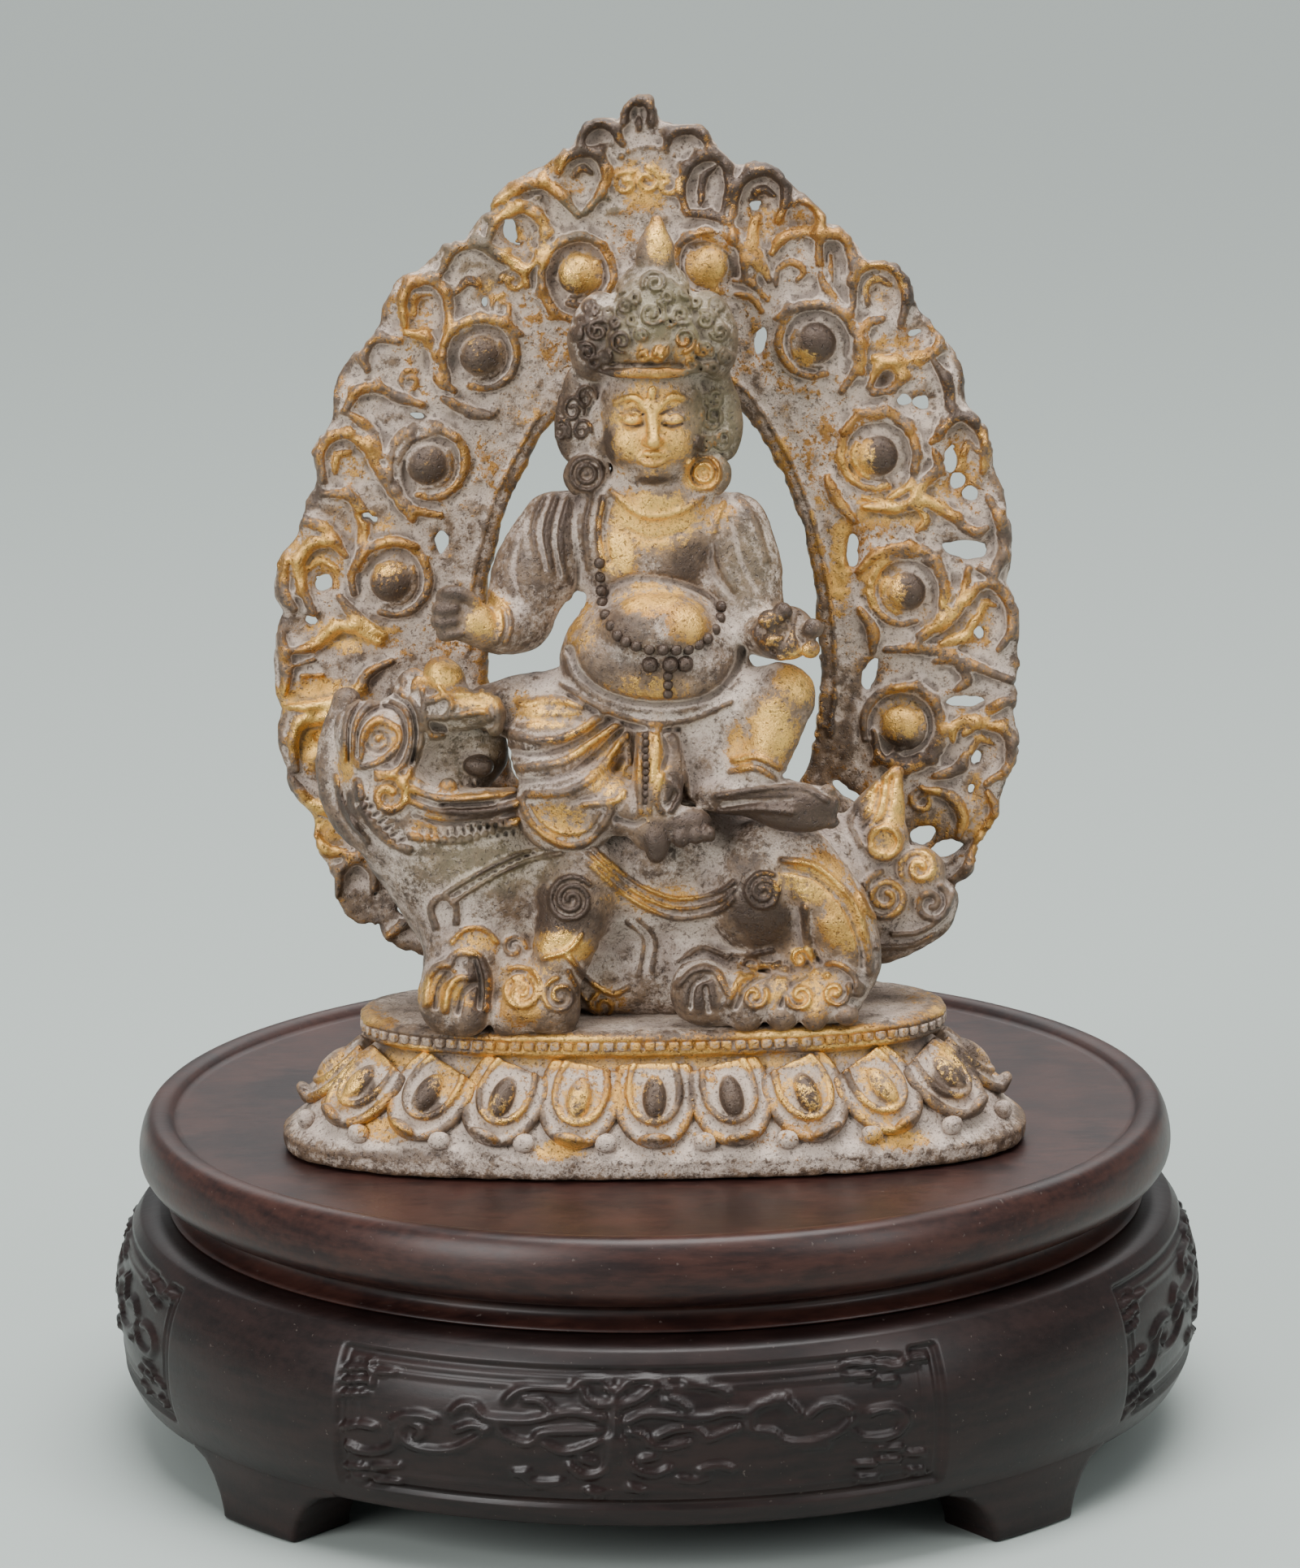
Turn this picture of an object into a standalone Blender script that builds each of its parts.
"""Gilt bronze wealth deity riding a lion, before a pierced halo, on a turned hardwood stand.

Metres, +Z up. The origin is the middle of the stand's underside, and the figure faces -Y.
"""

import math

import bmesh
import bpy
from mathutils import Euler, Matrix, Vector

MM = 0.001

# Hardwood stand: a turned top glued on a drum with four bracket feet
FOOT_HEIGHT = 9.5 * MM
FOOT_WIDTH = 17.0 * MM
FOOT_DEPTH = 13.0 * MM
FOOT_SPREAD = 9.0 * MM
DRUM_HEIGHT = 28.0 * MM
DRUM_RADIUS = 88.0 * MM
DRUM_SWELL = 5.5 * MM
TOP_RADIUS = 83.3 * MM
TOP_THICKNESS = 15.4 * MM
NECK_INSET = 7.5 * MM
RIM_WIDTH = 5.8 * MM
SEAT_DEPTH = 1.6 * MM
STAND_TURN = -2.2
PANEL_ARC = 63.0
PANEL_MARGIN = 3.4 * MM
PANEL_DEPTH = 0.9 * MM
ROUNDEL_RADIUS = 5.2 * MM
ROUNDEL_RELIEF = 0.8 * MM

# The statue stands forward of the stand's middle
STATUE_FORWARD = 21.0 * MM

# Cast throne: a flared base, a ring of lotus petals and a platform
THRONE_LENGTH = 117.0 * MM
THRONE_DEPTH = 49.0 * MM
THRONE_HEIGHT = 22.0 * MM
THRONE_EDGE = 4.0 * MM
PLATFORM_LENGTH = 92.0 * MM
PLATFORM_DEPTH = 37.0 * MM
BAND_HEIGHT = 4.4 * MM
PETAL_COUNT = 20
PETAL_WIDTH = 11.6 * MM
PETAL_HEIGHT = 13.0 * MM
PETAL_THICKNESS = 4.6 * MM

# Rider and mount, whose forms are all shares of this height
FIGURE_HEIGHT = 123.0 * MM
FIGURE_SHARES = 123.0
FIGURE_FORWARD = 1.0 * MM
SKIN_GRAIN = 0.75 * MM
SKIN_KEPT = 0.024

# Halo: a pierced plate behind the figure, as wide as the throne, its tang let into the platform
HALO_WIDTH = THRONE_LENGTH
HALO_HEIGHT = 142.0 * MM
HALO_MIDDLE = 53.5 * MM
HALO_THICKNESS = 3.0 * MM
HALO_SETBACK = 14.0 * MM
HALO_RELIEF = 1.8 * MM
OPENING_WIDTH = 53.0 * MM
OPENING_TOP = 108.0 * MM
OPENING_MIDDLE = 57.5 * MM
BRIDGE_HEIGHT = 7.5 * MM
TANG_WIDTH = 28.0 * MM
TANG_DEPTH = 2.5 * MM
LOBES_A_SIDE = 13
LOBE_DEPTH = 1.5 * MM
SCROLL_RADIUS = 6.0 * MM
PIERCING_RADIUS = 1.5 * MM

# Fits between neighbouring pieces
CLEARANCE = 0.3 * MM

DRUM_TOP = FOOT_HEIGHT + DRUM_HEIGHT
TOP_BOTTOM = DRUM_TOP + CLEARANCE
SEAT = TOP_BOTTOM + TOP_THICKNESS - SEAT_DEPTH
THRONE_BOTTOM = SEAT + CLEARANCE
PLATFORM = THRONE_BOTTOM + THRONE_HEIGHT
HALO_BOTTOM = PLATFORM + CLEARANCE
FIGURE_UNIT = FIGURE_HEIGHT / FIGURE_SHARES


def clear_scene():
    for item in list(bpy.data.objects):
        bpy.data.objects.remove(item, do_unlink=True)


def new_collection(name, hidden=False):
    made = bpy.data.collections.new(name)
    bpy.context.scene.collection.children.link(made)
    made.hide_render = hidden
    return made


def material(name, colour, roughness, metallic):
    made = bpy.data.materials.new(name)
    made.use_nodes = True
    shader = made.node_tree.nodes["Principled BSDF"]
    shader.inputs["Base Color"].default_value = (*colour, 1.0)
    shader.inputs["Roughness"].default_value = roughness
    shader.inputs["Metallic"].default_value = metallic
    return made


def add_object(name, data, where, finish=None):
    made = bpy.data.objects.new(name, data)
    where.objects.link(made)
    if where.hide_render:
        made.hide_render = True
        made.display_type = "WIRE"
    if finish:
        data.materials.append(finish)
    return made


def settle(item):
    """Bakes an object's modifiers or curve into a plain welded mesh, in place."""
    bpy.context.view_layer.update()
    graph = bpy.context.evaluated_depsgraph_get()
    mesh = bpy.data.meshes.new_from_object(item.evaluated_get(graph))
    shape = bmesh.new()
    shape.from_mesh(mesh)
    bmesh.ops.remove_doubles(shape, verts=shape.verts, dist=0.01 * MM)
    shape.to_mesh(mesh)
    shape.free()
    name, place = item.name, item.matrix_world.copy()
    where = item.users_collection[0]
    bpy.data.objects.remove(item, do_unlink=True)
    made = add_object(name, mesh, where)
    made.matrix_world = place
    return made


def combine(item, others, operation):
    """Joins or cuts an object with a collection of closed meshes."""
    step = item.modifiers.new(operation.lower(), "BOOLEAN")
    step.operation = operation
    step.operand_type = "COLLECTION"
    step.collection = others
    step.solver = "EXACT"
    return step


def turned(name, profile, where, steps=36):
    """A solid of revolution from (radius, height) points listed from the top down the outer side."""
    mesh = bpy.data.meshes.new(name)
    corners = [(radius, 0.0, height) for radius, height in profile]
    mesh.from_pydata(corners, [(i, i + 1) for i in range(len(corners) - 1)], [])
    made = add_object(name, mesh, where)
    screw = made.modifiers.new("turn", "SCREW")
    screw.steps = screw.render_steps = steps
    screw.use_merge_vertices = True
    screw.merge_threshold = 0.01 * MM
    return settle(made)


def ellipsoid(name, centre, radii, turn, where, segments=12, rings=8):
    shape = bmesh.new()
    place = (
        Matrix.Translation(centre)
        @ Euler([math.radians(angle) for angle in turn]).to_matrix().to_4x4()
        @ Matrix.Diagonal((*radii, 1.0))
    )
    bmesh.ops.create_uvsphere(shape, u_segments=segments, v_segments=rings, radius=1.0, matrix=place)
    mesh = bpy.data.meshes.new(name)
    shape.to_mesh(mesh)
    shape.free()
    return add_object(name, mesh, where)


def flat_shape(name, outlines, thickness, where):
    """A plate in the XZ plane from closed outlines, the inner ones cut as openings."""
    curve = bpy.data.curves.new(name, "CURVE")
    curve.dimensions = "2D"
    curve.fill_mode = "BOTH"
    curve.extrude = thickness / 2
    for outline in outlines:
        line = curve.splines.new("POLY")
        line.points.add(len(outline) - 1)
        line.use_cyclic_u = True
        for point, (across, up) in zip(line.points, outline):
            point.co = (across, up, 0.0, 1.0)
    made = add_object(name, curve, where)
    made.rotation_euler = (math.radians(90), 0.0, 0.0)
    return settle(made)


# Hardwood stand

def stand_top(where, finish):
    """The disc that the bronze stands on: a beaded rim, a rounded edge and a coved neck."""
    top = TOP_BOTTOM + TOP_THICKNESS
    neck = TOP_RADIUS - NECK_INSET
    inner = TOP_RADIUS - RIM_WIDTH
    profile = [
        (0.0, SEAT),
        (inner, SEAT),
        (inner + 0.3 * RIM_WIDTH, top),
        (TOP_RADIUS - 0.4 * RIM_WIDTH, top),
        (TOP_RADIUS - 0.5 * MM, top - 0.2 * TOP_THICKNESS),
        (TOP_RADIUS, top - 0.4 * TOP_THICKNESS),
        (TOP_RADIUS - 0.8 * MM, top - 0.58 * TOP_THICKNESS),
        (TOP_RADIUS - 3.4 * MM, top - 0.7 * TOP_THICKNESS),
        (neck, top - 0.8 * TOP_THICKNESS),
        (neck + 1.0 * MM, TOP_BOTTOM + 0.08 * TOP_THICKNESS),
        (neck + 3.4 * MM, TOP_BOTTOM),
        (0.0, TOP_BOTTOM),
    ]
    made = turned("stand_top", profile, where)
    made.data.materials.append(finish)
    return made


def drum_radius(height):
    """The drum's outer radius: fullest a little below the middle of its side."""
    off_middle = ((height - FOOT_HEIGHT) / DRUM_HEIGHT - 0.44) / 0.56
    return DRUM_RADIUS - DRUM_SWELL * abs(off_middle) ** 2.4


def bracket_foot(name, where):
    """A bracket foot seen from outside, wrapped round the drum's edge."""
    half, lift = FOOT_WIDTH / 2, 1.5 * MM
    side = [
        (half, 0.0),
        (half + 0.1 * FOOT_SPREAD, 0.3 * FOOT_HEIGHT),
        (half + 0.4 * FOOT_SPREAD, 0.7 * FOOT_HEIGHT),
        (half + FOOT_SPREAD, FOOT_HEIGHT),
        (half + FOOT_SPREAD, FOOT_HEIGHT + lift),
    ]
    outline = side + [(-across, up) for across, up in reversed(side)]
    made = flat_shape(name, [outline], FOOT_DEPTH, where)
    made.data.transform(made.matrix_world)
    made.matrix_world = Matrix.Identity(4)
    outer = drum_radius(FOOT_HEIGHT) + 0.4 * MM
    for vertex in made.data.vertices:
        across, depth, up = vertex.co
        radius = outer - FOOT_DEPTH / 2 - depth
        turn = across / outer
        vertex.co = (radius * math.sin(turn), -radius * math.cos(turn), up)
    return made


def panel_recess(name, where, steps=8):
    """The curved slab that is cut away to sink one carved panel into the drum's front."""
    low, high = FOOT_HEIGHT + PANEL_MARGIN, DRUM_TOP - PANEL_MARGIN
    floor = []
    for step in range(4):
        height = low + (high - low) * step / 3
        floor.append((drum_radius(height) - PANEL_DEPTH, height))
    section = floor + [(DRUM_RADIUS + 2.0 * MM, high), (DRUM_RADIUS + 2.0 * MM, low)]
    shape = bmesh.new()
    rings = []
    for step in range(steps + 1):
        turn = math.radians(PANEL_ARC * (step / steps - 0.5))
        ring = [(radius * math.sin(turn), -radius * math.cos(turn), height) for radius, height in section]
        rings.append([shape.verts.new(point) for point in ring])
    for before, after in zip(rings, rings[1:]):
        for corner in range(len(section)):
            near = (corner + 1) % len(section)
            shape.faces.new((before[corner], before[near], after[near], after[corner]))
    shape.faces.new(rings[0])
    shape.faces.new(list(reversed(rings[-1])))
    bmesh.ops.recalc_face_normals(shape, faces=shape.faces)
    mesh = bpy.data.meshes.new(name)
    shape.to_mesh(mesh)
    shape.free()
    return add_object(name, mesh, where)


def roundel(name, radius, relief, where, steps):
    """A raised ring with a boss in its middle, on the plane Z = 0 and sunk a little below it."""
    profile = [
        (0.0, 1.15 * relief),
        (0.3 * radius, 0.8 * relief),
        (0.5 * radius, 0.2 * relief),
        (0.78 * radius, relief),
        (radius, -0.3 * relief),
        (0.0, -0.5 * relief),
    ]
    return turned(name, profile, where, steps)


def stand_base(where, finish):
    """The drum: a flat shoulder, a swelling side with four sunk panels, and four bracket feet."""
    shoulder = 2.4 * MM
    profile = [(0.0, DRUM_TOP), (drum_radius(DRUM_TOP) - shoulder, DRUM_TOP)]
    levels = 5
    for step in range(levels + 1):
        height = DRUM_TOP - 0.9 * MM - step * (DRUM_HEIGHT - 0.9 * MM) / levels
        profile.append((drum_radius(height), height))
    profile.append((0.0, FOOT_HEIGHT))
    drum = turned("stand_base", profile, where)
    recesses = new_collection("panel recesses", hidden=True)
    additions = new_collection("stand additions", hidden=True)
    middle = (FOOT_HEIGHT + DRUM_TOP) / 2
    upright = Matrix.Rotation(math.radians(90), 4, "X")
    for quarter in range(4):
        round_axis = Matrix.Rotation(math.radians(STAND_TURN + 90 * quarter), 4, "Z")
        panel_recess(f"recess_{quarter}", recesses).matrix_world = round_axis
        foot = bracket_foot(f"bracket_foot_{quarter}", additions)
        foot.rotation_euler.z = math.radians(STAND_TURN + 45 + 90 * quarter)
        for number, share in enumerate((-0.56, 0.0, 0.56)):
            size = ROUNDEL_RADIUS * (1.5 if number == 1 else 1.0)
            carved = roundel(f"roundel_{quarter}_{number}", size, ROUNDEL_RELIEF, additions, 6)
            turn = Matrix.Rotation(math.radians(share * PANEL_ARC / 2), 4, "Z")
            out = Matrix.Translation((0.0, PANEL_DEPTH - drum_radius(middle), middle))
            carved.matrix_world = round_axis @ turn @ out @ upright
    combine(drum, recesses, "DIFFERENCE")
    combine(drum, additions, "UNION")
    drum.data.materials.append(finish)
    return drum


# Cast throne

def oval(turn, length, depth, height):
    """A point of the throne's plan: an oval with fuller corners than an ellipse."""
    fullness = 0.8
    across, back = math.cos(turn), math.sin(turn)
    x = math.copysign(abs(across) ** fullness, across) * length / 2
    y = math.copysign(abs(back) ** fullness, back) * depth / 2
    return Vector((x, y, height))


def throne_sections():
    """(inset share, height) of the throne's mouldings, from the underside up."""
    top = PLATFORM
    return [
        (0.00, THRONE_BOTTOM),
        (-0.02, THRONE_BOTTOM + 0.7 * THRONE_EDGE),
        (0.08, THRONE_BOTTOM + THRONE_EDGE),
        (0.36, THRONE_BOTTOM + 0.34 * THRONE_HEIGHT),
        (0.86, THRONE_BOTTOM + 0.62 * THRONE_HEIGHT),
        (1.16, THRONE_BOTTOM + 0.72 * THRONE_HEIGHT),
        (1.14, top - BAND_HEIGHT),
        (0.98, top - 0.7 * BAND_HEIGHT),
        (0.98, top - 0.3 * BAND_HEIGHT),
        (1.08, top),
    ]


def throne_body(name, where, segments=30):
    """Lofted oval mouldings: the plan changes shape on the way up, so no turned profile makes it."""
    shape = bmesh.new()
    rings = []
    for inset, height in throne_sections():
        length = THRONE_LENGTH - inset * (THRONE_LENGTH - PLATFORM_LENGTH)
        depth = THRONE_DEPTH - inset * (THRONE_DEPTH - PLATFORM_DEPTH)
        turns = [2 * math.pi * step / segments for step in range(segments)]
        rings.append([shape.verts.new(oval(turn, length, depth, height)) for turn in turns])
    for lower, upper in zip(rings, rings[1:]):
        for step in range(segments):
            after = (step + 1) % segments
            shape.faces.new((lower[step], lower[after], upper[after], upper[step]))
    shape.faces.new(list(reversed(rings[0])))
    shape.faces.new(rings[-1])
    mesh = bpy.data.meshes.new(name)
    shape.to_mesh(mesh)
    shape.free()
    return add_object(name, mesh, where)


def even_turns(count, length, depth):
    """Turns that place points evenly along the oval, the first half a step from its right end."""
    fine = [2 * math.pi * step / 720 for step in range(721)]
    walked = [0.0]
    for before, after in zip(fine, fine[1:]):
        stride = oval(after, length, depth, 0.0) - oval(before, length, depth, 0.0)
        walked.append(walked[-1] + stride.length)
    turns, index = [], 0
    for number in range(count):
        while walked[index] < walked[-1] * (number + 0.5) / count:
            index += 1
        turns.append(fine[index])
    return turns


def lotus_petals(where):
    """Fleshy petals that hang round the throne, tips down on the flare of its base."""
    low = THRONE_BOTTOM + 0.28 * THRONE_HEIGHT
    high = THRONE_BOTTOM + 0.74 * THRONE_HEIGHT
    for number, turn in enumerate(even_turns(PETAL_COUNT, THRONE_LENGTH, THRONE_DEPTH)):
        ends = []
        for inset, height in ((0.2, low), (0.98, high)):
            length = THRONE_LENGTH - inset * (THRONE_LENGTH - PLATFORM_LENGTH)
            depth = THRONE_DEPTH - inset * (THRONE_DEPTH - PLATFORM_DEPTH)
            ends.append(oval(turn, length, depth, height))
        ahead = oval(turn + 0.05, THRONE_LENGTH, THRONE_DEPTH, low)
        behind = oval(turn - 0.05, THRONE_LENGTH, THRONE_DEPTH, low)
        along = (ahead - behind).normalized()
        up = (ends[1] - ends[0]).normalized()
        out = along.cross(up).normalized()
        frame = Matrix((along, -out, along.cross(-out))).transposed().to_4x4()
        shape = bmesh.new()
        size = Matrix.Diagonal((PETAL_WIDTH / 2, PETAL_THICKNESS / 2, PETAL_HEIGHT / 2, 1.0))
        place = Matrix.Translation((ends[0] + ends[1]) / 2) @ frame @ size
        bmesh.ops.create_uvsphere(shape, u_segments=6, v_segments=4, radius=1.0, matrix=place)
        bmesh.ops.recalc_face_normals(shape, faces=shape.faces)
        mesh = bpy.data.meshes.new(f"petal_{number}")
        shape.to_mesh(mesh)
        shape.free()
        add_object(f"petal_{number}", mesh, where)


# Rider and mount, in shares of the figure's height from the middle of the platform

def figure_point(x, y, z):
    return Vector((x * FIGURE_UNIT, y * FIGURE_UNIT - FIGURE_FORWARD, PLATFORM + z * FIGURE_UNIT))


class Modelling:
    """Collects balls and limbs of modelling wax, which are then melted into one form."""

    def __init__(self, where):
        self.where = where
        self.count = 0

    def ball(self, x, y, z, rx, ry, rz, turn=(0, 0, 0)):
        self.count += 1
        radii = [radius * FIGURE_UNIT for radius in (rx, ry, rz)]
        ellipsoid(f"form_{self.count}", figure_point(x, y, z), radii, turn, self.where, 20, 14)

    def limb(self, *knots):
        """A round limb through (x, y, z, radius) knots, smoothly curved between them."""
        self.count += 1
        curve = bpy.data.curves.new(f"form_{self.count}", "CURVE")
        curve.dimensions = "3D"
        curve.bevel_depth = FIGURE_UNIT
        curve.bevel_resolution = 3
        curve.use_fill_caps = True
        line = curve.splines.new("BEZIER")
        line.resolution_u = 6
        line.bezier_points.add(len(knots) - 1)
        for point, (x, y, z, radius) in zip(line.bezier_points, knots):
            point.co = figure_point(x, y, z)
            point.radius = radius
            point.handle_left_type = point.handle_right_type = "AUTO"
        add_object(curve.name, curve, self.where)
        for x, y, z, radius in (knots[0], knots[-1]):
            self.ball(x, y, z, radius, radius, radius)


def lion(wax):
    """A crouching lion that looks back and up at its rider with its jaws open."""
    # Trunk, chest, neck and rump
    wax.limb((-24, 0, 20, 11), (-8, 0, 20, 11.5), (10, 1, 21, 11.5), (24, 1, 20, 11))
    wax.ball(-27, -3, 22, 12, 11, 13)
    wax.limb((-29, -3, 22, 11), (-36, -3, 31, 10.5), (-39, -3, 38, 10))
    wax.ball(24, 0, 19, 11, 10.5, 12)
    wax.limb((-14, 2, 4, 5), (-12, 1, 12, 7))
    wax.limb((20, 3, 3, 6), (22, 2, 12, 8))
    # Skull, cheek, brow and ear
    wax.ball(-38, -4, 39, 10.5, 8.5, 12)
    wax.ball(-43, -7.5, 44.5, 5.6, 4.6, 7, (0, -25, 0))
    wax.ball(-41.5, -9, 35.5, 4.6, 3.6, 4.4)
    wax.ball(-36.5, -4, 52, 2.8, 2.6, 3.4)
    # Upper jaw with its curled lip, and the nose
    wax.limb((-37, -5, 47, 5), (-31, -6, 49.5, 4.8), (-24.5, -6.5, 49.5, 3.6))
    wax.ball(-31.8, -6.5, 55, 4.2, 4.4, 3, (0, 30, 0))
    wax.limb((-25.5, -6.5, 51.5, 3), (-22.6, -6.8, 49.5, 2.6), (-22.4, -6.8, 46.8, 1.7))
    # Tongue and lower jaw
    wax.ball(-26, -5.5, 41.8, 4.6, 3.4, 3)
    wax.limb((-38, -7, 36.5, 3.4), (-31, -8, 35.2, 3.6), (-20.5, -8, 37.2, 3.2))
    wax.ball(-30, -4, 42, 8, 5, 7)
    # Mane roll behind the head, and the beard
    wax.limb(
        (-47, -2, 50, 2.2),
        (-49.5, -3, 41, 2.6),
        (-47, -5, 32, 2.8),
        (-40, -7.5, 28, 2.6),
        (-30, -8, 29.5, 2),
    )
    # Near foreleg and its paw
    wax.limb((-11, -9, 25, 7), (-12.5, -12, 17, 5.6), (-15, -13.5, 9, 4.2), (-15.5, -14, 4, 4))
    wax.ball(-18, -14, 3.5, 6.5, 4.6, 4)
    # Far forepaw, raised on its toes
    wax.limb((-29, -8, 14, 7), (-29.5, -11, 9, 6.2), (-30.5, -12.5, 4, 5.6))
    wax.ball(-31.5, -13, 5, 5, 4.6, 5.2)
    # Near hind leg: thigh, shank, heel and paw
    wax.ball(17, -8, 21, 8.6, 7, 11, (0, 12, 0))
    wax.limb((23, -10, 25, 5.6), (28.5, -11, 17, 5.6), (31, -10.5, 9, 4.6), (28, -11, 4, 4))
    wax.limb((28, -11.5, 4, 4), (19, -12.5, 4, 3.8), (10, -13, 4.5, 4.6))
    wax.ball(7.6, -13.5, 5.5, 5, 4.4, 5.2)
    # Curls of the fetlocks on the platform
    for x, r in ((-22, 2.9), (-10.5, 2.7), (-5, 2.2), (14.5, 2.8), (20, 2.6), (25, 2.4)):
        wax.ball(x, -14.6, 1.8, r, 2.2, r)
    # Tail: an upright flame with three curls beside it
    wax.limb((28, 4, 20, 7), (34, 2, 24, 5.5), (36, 1, 30, 3.8), (38.4, 1, 36.5, 1.2))
    wax.ball(36, -1, 26.5, 4.2, 3, 4.4)
    wax.ball(35.5, -1, 16.8, 5.2, 3.2, 5.4)
    wax.ball(41.8, 0, 20.6, 4.4, 3, 4.6)
    wax.ball(43.6, 1, 14.6, 4.4, 3, 5.6, (0, 25, 0))
    wax.limb((30, 3, 10, 5), (38, 2, 11, 4.6), (42, 2, 14, 3.6))
    # Saddle cloth hanging from under the rider
    wax.ball(1, -4, 26, 14, 8.8, 7.5)
    wax.limb((-12, -8, 30, 2.6), (-4, -11, 22.5, 2.4), (3, -11.8, 19.5, 2.4), (11, -10.8, 22, 2.4))


def deity(wax):
    """A stout deity at royal ease: one leg folded on the lion's neck, the other knee raised."""
    # Lap, belly, chest and shoulders
    wax.ball(0, -1, 40, 17, 9.5, 8)
    wax.ball(0.8, -6, 56.5, 14.6, 10.6, 11.8)
    wax.ball(1, -8.4, 61.5, 8.6, 7.6, 6)
    wax.ball(0, -2, 72.5, 11.2, 8, 10)
    wax.limb((-13, -0.5, 76.5, 5.4), (0, -1, 79, 5.2), (13, -0.5, 76, 5.4))
    wax.ball(0.8, -3, 82, 8.4, 6.4, 4.6)
    # Folded leg with its skirt, and the foot that comes out under the sash
    wax.limb((-4, -3, 44, 8), (-14, -6, 46.5, 7.4), (-24, -9, 47, 5.6))
    wax.limb((-24, -9.5, 45, 5.6), (-15, -12, 38.5, 5.6), (-6, -13.5, 35.5, 4.6), (0, -14, 33.5, 3.2))
    wax.ball(-14, -11.5, 34.5, 7, 4.2, 7)
    wax.ball(4.4, -15.4, 33, 5, 2.8, 2.6)
    wax.limb((0.5, -14, 46, 2.6), (0, -15.4, 39, 2.8), (-0.4, -15.6, 31, 2.4))
    # Raised knee, shin, cuff and foot
    wax.limb((5, -3, 43, 7.6), (14, -7, 47.5, 6.6), (22.5, -10.5, 51.5, 5.2))
    wax.limb((23, -11, 51.5, 5), (20.5, -12, 46, 4.8), (16.6, -12.5, 39.5, 4.2))
    wax.ball(10, -8, 40, 8, 5, 6)
    wax.limb((12, -12, 35.6, 3), (19, -13, 35.4, 3.4), (26.5, -13.5, 35.6, 2.6))
    # Arm bent at the side, its hand holding a fruit
    wax.limb((-15, -0.5, 76.5, 5.2), (-18, -1.5, 70, 5.3), (-20.2, -3, 63.5, 4.8))
    wax.limb((-20, -3.5, 62.5, 4.4), (-22.5, -7, 62, 3.8), (-25.4, -10.5, 62.6, 3))
    wax.ball(-28, -12, 64, 3.8, 3.2, 4.2)
    wax.ball(-30.2, -12.5, 64.8, 2.6, 2.8, 3.8)
    # Arm over the raised knee, its hand closed
    wax.limb((15, -0.5, 76, 5.2), (18, -1.5, 70.5, 5.4), (19.8, -3.5, 65, 4.8))
    wax.limb((19.5, -4, 64, 4.4), (19.6, -8, 62, 3.6), (20.8, -11.5, 62, 3.4))
    wax.ball(21.8, -13.2, 62.6, 4.4, 3.8, 4.2)
    # Neck, head and jaw
    wax.limb((1, -3, 82, 5.4), (1.1, -3.8, 88, 5.2))
    wax.ball(1.2, -4.6, 94.5, 7.4, 7.6, 9.4)
    wax.ball(1.2, -6, 90, 5.8, 6, 4.8)
    wax.ball(1.2, -12.2, 93.2, 1.3, 1.6, 2.4)
    for side in (-1, 1):
        # Ear, ear disc and the ribbon rosette beside it
        wax.ball(1.2 + side * 8, -3, 90.5, 1.9, 2.8, 6)
        wax.ball(0.3 + side * 9.4, -4, 85.6, 3.5, 2.2, 3.5)
        wax.ball(0.3 + side * 12.6, -1.2, 93.4, 3, 2, 6.4, (0, side * -10, 0))
        # Side curls of the crown
        wax.ball(1 + side * 9.6, -3, 106.5, 4.4, 5, 7, (0, side * -8, 0))
    # Crown over the hair, topknot and flame jewel
    wax.ball(1.1, -3, 106, 11.6, 8.2, 7.2)
    wax.ball(1.3, -7.6, 110, 6.4, 3.4, 7)
    wax.ball(1.6, -3, 113.5, 5.6, 5, 5)
    wax.limb((1.9, -3, 115, 3), (2.6, -3, 119, 1.9), (2.8, -3, 122, 0.8))


def rider_and_mount(where, shapes):
    """The modelled wax, melted to one skin and thinned to a faceted solid."""
    wax = Modelling(shapes)
    lion(wax)
    deity(wax)
    bpy.context.view_layer.update()
    graph = bpy.context.evaluated_depsgraph_get()
    melted = bmesh.new()
    for item in shapes.objects:
        mesh = bpy.data.meshes.new_from_object(item.evaluated_get(graph))
        mesh.transform(item.matrix_world)
        melted.from_mesh(mesh)
        bpy.data.meshes.remove(mesh)
    mesh = bpy.data.meshes.new("rider_and_mount")
    melted.to_mesh(mesh)
    melted.free()
    made = add_object("rider_and_mount", mesh, where)
    skin = made.modifiers.new("skin", "REMESH")
    skin.mode = "VOXEL"
    skin.voxel_size = SKIN_GRAIN
    ease = made.modifiers.new("ease", "SMOOTH")
    ease.factor = 0.5
    ease.iterations = 3
    thin = made.modifiers.new("thin", "DECIMATE")
    thin.ratio = SKIN_KEPT
    return settle(made)


def cast_group(where, finish):
    """Throne, lion and rider, cast in one, with a slot in the platform for the halo's tang."""
    body = throne_body("figure_lion_and_throne", where)
    additions = new_collection("cast additions", hidden=True)
    shapes = new_collection("modelled forms", hidden=True)
    lotus_petals(additions)
    rider_and_mount(additions, shapes)
    combine(body, additions, "UNION")
    slots = new_collection("slots", hidden=True)
    slot = bmesh.new()
    bmesh.ops.create_cube(slot, size=1.0)
    mesh = bpy.data.meshes.new("tang_slot")
    slot.to_mesh(mesh)
    slot.free()
    deep = TANG_DEPTH + CLEARANCE
    mesh.transform(
        Matrix.Translation((0.0, HALO_SETBACK, PLATFORM))
        @ Matrix.Diagonal((TANG_WIDTH + 2 * CLEARANCE, HALO_THICKNESS + 2 * CLEARANCE, 2 * deep, 1.0))
    )
    add_object("tang_slot", mesh, slots)
    combine(body, slots, "DIFFERENCE")
    body.data.materials.append(finish)
    return body


# Pierced halo

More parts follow.
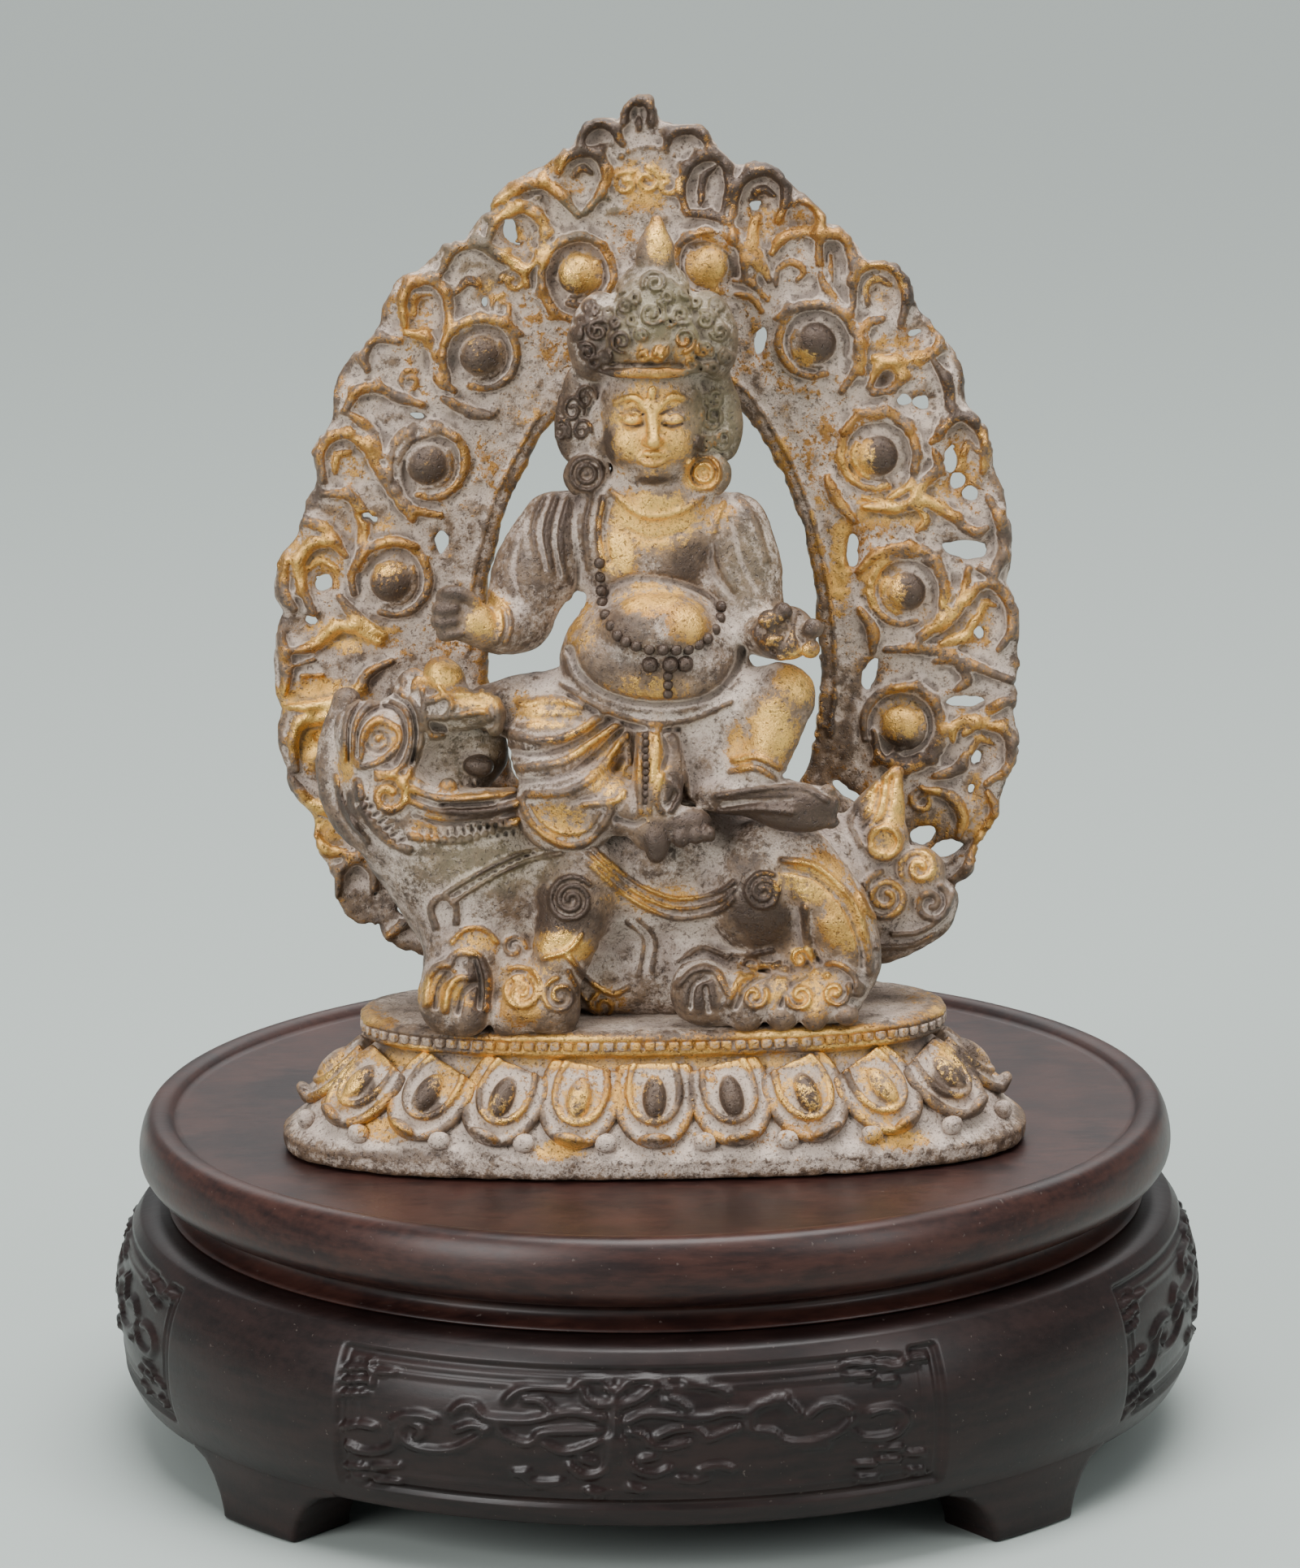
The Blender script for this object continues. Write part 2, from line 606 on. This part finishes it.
def egg_width(height, width, rise, drop, sharpness):
    """Half the width of an egg with a pointed top, at a height from its widest level."""
    if height >= 0:
        return width / 2 * (1 - min(height / rise, 1.0) ** sharpness)
    return width / 2 * math.sqrt(max(0.0, 1 - (height / drop) ** 2))


def egg_side(width, rise, drop, sharpness, lowest, count):
    """Evenly spaced (across, up) points down the right side of an egg, tip first."""
    fine = []
    for step in range(401):
        share = step / 400
        height = rise + (lowest - rise) * share
        fine.append((egg_width(height, width, rise, drop, sharpness), height))
    lengths = [0.0]
    for before, after in zip(fine, fine[1:]):
        lengths.append(lengths[-1] + math.dist(before, after))
    points, index = [], 0
    for step in range(count + 1):
        wanted = lengths[-1] * step / count
        while index < len(fine) - 1 and lengths[index] < wanted:
            index += 1
        points.append(fine[index])
    return points


def outline_egg():
    """Height of the halo's widest level, its rise to the tip and its drop to the egg's foot."""
    middle = HALO_BOTTOM + HALO_MIDDLE
    return middle, HALO_HEIGHT - HALO_MIDDLE, 1.32 * HALO_MIDDLE


def opening_egg():
    """The same three sizes for the central opening."""
    middle = HALO_BOTTOM + OPENING_MIDDLE
    return middle, OPENING_TOP - OPENING_MIDDLE, OPENING_MIDDLE - BRIDGE_HEIGHT


def scroll_centres():
    """Scroll centres down one side, on an egg midway between the opening and the outline."""
    middle, rise, drop = outline_egg()
    width = (HALO_WIDTH + OPENING_WIDTH) / 2 - 4.6 * MM
    tip = (rise + OPENING_TOP - HALO_MIDDLE) / 2 - 4.0 * MM
    shares = (0.89, 0.7, 0.45, 0.16, -0.17, -0.46)
    return [(egg_width(share * tip, width, tip, drop, 2.5), middle + share * tip) for share in shares]


def halo(where, finish):
    """The halo plate: lobed outline, central opening, scrolls, bosses, leaves and piercings."""
    middle, rise, drop = outline_egg()
    steps = 3
    width, count = HALO_WIDTH - 2 * LOBE_DEPTH, LOBES_A_SIDE * steps
    rim = egg_side(width, rise - LOBE_DEPTH, drop, 2.6, -HALO_MIDDLE, count)
    side = []
    for number, (across, up) in enumerate(rim):
        before, after = rim[max(number - 1, 0)], rim[min(number + 1, len(rim) - 1)]
        run = Vector((after[0] - before[0], after[1] - before[1])).normalized()
        swell = LOBE_DEPTH * (1.2 if number % steps else 0.0)
        side.append((across - run.y * swell, middle + up + run.x * swell))
    side[-1] = (side[-1][0], HALO_BOTTOM)
    tang = TANG_WIDTH / 2
    side += [(tang, HALO_BOTTOM), (tang, HALO_BOTTOM - CLEARANCE - TANG_DEPTH)]
    outline = side + [(-across, up) for across, up in reversed(side) if across > 0.1 * MM]
    opening_middle, opening_rise, opening_drop = opening_egg()
    right = egg_side(OPENING_WIDTH, opening_rise, opening_drop, 2.36, -opening_drop, 12)
    right = [(across, opening_middle + up) for across, up in right]
    opening = right + [(-across, up) for across, up in reversed(right[1:-1])]
    centres = scroll_centres()
    piercings = []
    for (x0, z0), (x1, z1) in zip(centres, centres[1:]):
        hole = Vector(((x0 + x1) / 2, (z0 + z1) / 2))
        out = Vector((hole.x, 0.6 * (hole.y - middle))).normalized()
        hole += out * SCROLL_RADIUS * 1.1
        corners = []
        for corner in range(6):
            turn = math.radians(60 * corner)
            corners.append(hole + PIERCING_RADIUS * Vector((math.cos(turn), math.sin(turn))))
        for mirror in (-1, 1):
            piercings.append([(mirror * corner.x, corner.y) for corner in corners])
    plate = flat_shape("halo", [outline, opening, *piercings], HALO_THICKNESS, where)
    plate.location.y = HALO_SETBACK
    relief = new_collection("halo relief", hidden=True)
    front = HALO_SETBACK - HALO_THICKNESS / 2
    upright = Matrix.Rotation(math.radians(90), 4, "X")
    for mirror in (-1, 1):
        for number, (across, up) in enumerate(centres):
            volute = roundel(f"scroll_{number}_{mirror}", SCROLL_RADIUS, HALO_RELIEF, relief, 7)
            volute.matrix_world = Matrix.Translation((mirror * across, front, up)) @ upright
        for number in range(LOBES_A_SIDE):
            across, up = rim[number * steps + steps // 2]
            inward = Vector((across, up * 0.75)).normalized()
            lean = math.degrees(math.atan2(inward.x, inward.y))
            root = Vector((across, middle + up)) - 3.2 * MM * inward
            centre = Vector((mirror * root.x, front, root.y))
            radii = (2.9 * MM, HALO_RELIEF, 4.6 * MM)
            ellipsoid(f"leaf_{number}_{mirror}", centre, radii, (0, mirror * lean, 0), relief, 5, 4)
    combine(plate, relief, "UNION")
    plate.data.materials.append(finish)
    return plate


def set_forward(pieces):
    """Hangs the statue's pieces and their cutters on one empty and moves it to its place."""
    statue = bpy.data.objects.new("statue", None)
    bpy.context.scene.collection.objects.link(statue)
    for item in pieces:
        item.parent = statue
    statue.location.y = -STATUE_FORWARD


def build():
    clear_scene()
    parts = new_collection("bronze deity on a lion")
    bronze = material("worn gilt bronze", (0.42, 0.33, 0.22), 0.6, 0.55)
    hardwood = material("dark hardwood", (0.085, 0.035, 0.028), 0.35, 0.0)
    stand_top(parts, hardwood)
    stand_base(parts, hardwood)
    stand = set(bpy.data.objects)
    cast_group(parts, bronze)
    halo(parts, bronze)
    set_forward([item for item in bpy.data.objects if item not in stand])


build()
